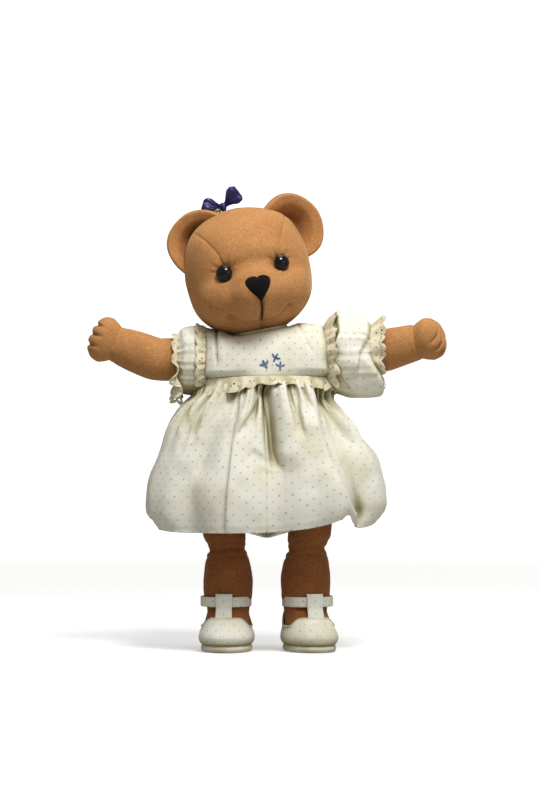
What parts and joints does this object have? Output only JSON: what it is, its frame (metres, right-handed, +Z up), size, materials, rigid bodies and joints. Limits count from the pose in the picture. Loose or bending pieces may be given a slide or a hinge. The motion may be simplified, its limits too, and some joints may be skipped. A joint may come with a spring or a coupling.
{
  "type": "jointed teddy bear",
  "caption": "Standing cloth teddy bear in a short cotton dress and strap shoes, with turning head, arms and legs.",
  "frame": {"origin": "on the ground, midway between the shoes, below the middle of the body", "axes": "+Z up, the bear faces -Y, its left side is +X"},
  "size_m": [0.3334, 0.1522, 0.4301],
  "materials": {
    "plush": "matte",
    "stuffing": "matte",
    "hardboard": "matte",
    "steel": "satin",
    "washer_plastic": "matte",
    "eye_black": "gloss",
    "nose_felt": "matte",
    "thread": "matte",
    "ribbon": "satin",
    "lace": "matte",
    "button": "gloss",
    "print_cotton": "matte",
    "sole_cloth": "matte"
  },
  "bodies": {
    "torso": {"torso_skin": "plush", "torso_stuffing": "stuffing", "neck_body_board": "hardboard", "shoulder_body_boards": "hardboard", "hip_body_boards": "hardboard", "joint_body_washers": "steel", "dress_yoke": "print_cotton", "neck_binding": "lace", "left_sleeve": "print_cotton", "left_cuff_lace": "lace", "right_sleeve": "print_cotton", "right_cuff_lace": "lace", "dress_skirt": "print_cotton", "waist_lace": "lace", "bloomers": "print_cotton", "back_buttons": "button"},
    "head": {"head_skin": "plush", "head_stuffing": "stuffing", "neck_board": "hardboard", "neck_washer": "steel", "neck_cotter_pin": "steel", "left_eye": "eye_black", "right_eye": "eye_black", "eye_washers": "washer_plastic", "left_ear": "plush", "right_ear": "plush", "nose": "nose_felt", "mouth_stitch": "thread", "bow_knot": "ribbon", "bow_loops": "ribbon", "bow_lace": "lace"},
    "left_arm": {"left_arm_skin": "plush", "left_arm_stuffing": "stuffing", "left_arm_board": "hardboard", "left_arm_washer": "steel", "left_arm_cotter_pin": "steel"},
    "left_leg": {"left_leg_skin": "plush", "left_leg_stuffing": "stuffing", "left_leg_board": "hardboard", "left_leg_washer": "steel", "left_leg_cotter_pin": "steel", "left_shoe_sole": "sole_cloth", "left_shoe_upper": "print_cotton", "left_shoe_strap": "print_cotton", "left_shoe_tab": "print_cotton"},
    "right_arm": {"right_arm_skin": "plush", "right_arm_stuffing": "stuffing", "right_arm_board": "hardboard", "right_arm_washer": "steel", "right_arm_cotter_pin": "steel"},
    "right_leg": {"right_leg_skin": "plush", "right_leg_stuffing": "stuffing", "right_leg_board": "hardboard", "right_leg_washer": "steel", "right_leg_cotter_pin": "steel", "right_shoe_sole": "sole_cloth", "right_shoe_upper": "print_cotton", "right_shoe_strap": "print_cotton", "right_shoe_tab": "print_cotton"}
  },
  "joints": [
    {"name": "neck", "type": "hinge", "parent": "torso", "child": "head", "pos_m": [-0.006, 0, 0.292], "axis": [-0.1908, 0, 0.9816], "range_deg": [-55, 150]},
    {"name": "left_shoulder", "type": "hinge", "parent": "torso", "child": "left_arm", "pos_m": [0.046, 0, 0.278], "axis": [1, 0, 0], "continuous": true},
    {"name": "right_shoulder", "type": "hinge", "parent": "torso", "child": "right_arm", "pos_m": [-0.046, 0, 0.271], "axis": [1, 0, 0], "continuous": true},
    {"name": "left_hip", "type": "hinge", "parent": "torso", "child": "left_leg", "pos_m": [0.022, 0, 0.15], "axis": [-1, 0, 0], "range_deg": [-30, 90], "deforming": ["dress_skirt", "bloomers"]},
    {"name": "right_hip", "type": "hinge", "parent": "torso", "child": "right_leg", "pos_m": [-0.022, 0, 0.15], "axis": [-1, 0, 0], "range_deg": [-30, 90], "deforming": ["dress_skirt", "bloomers"]}
  ]
}
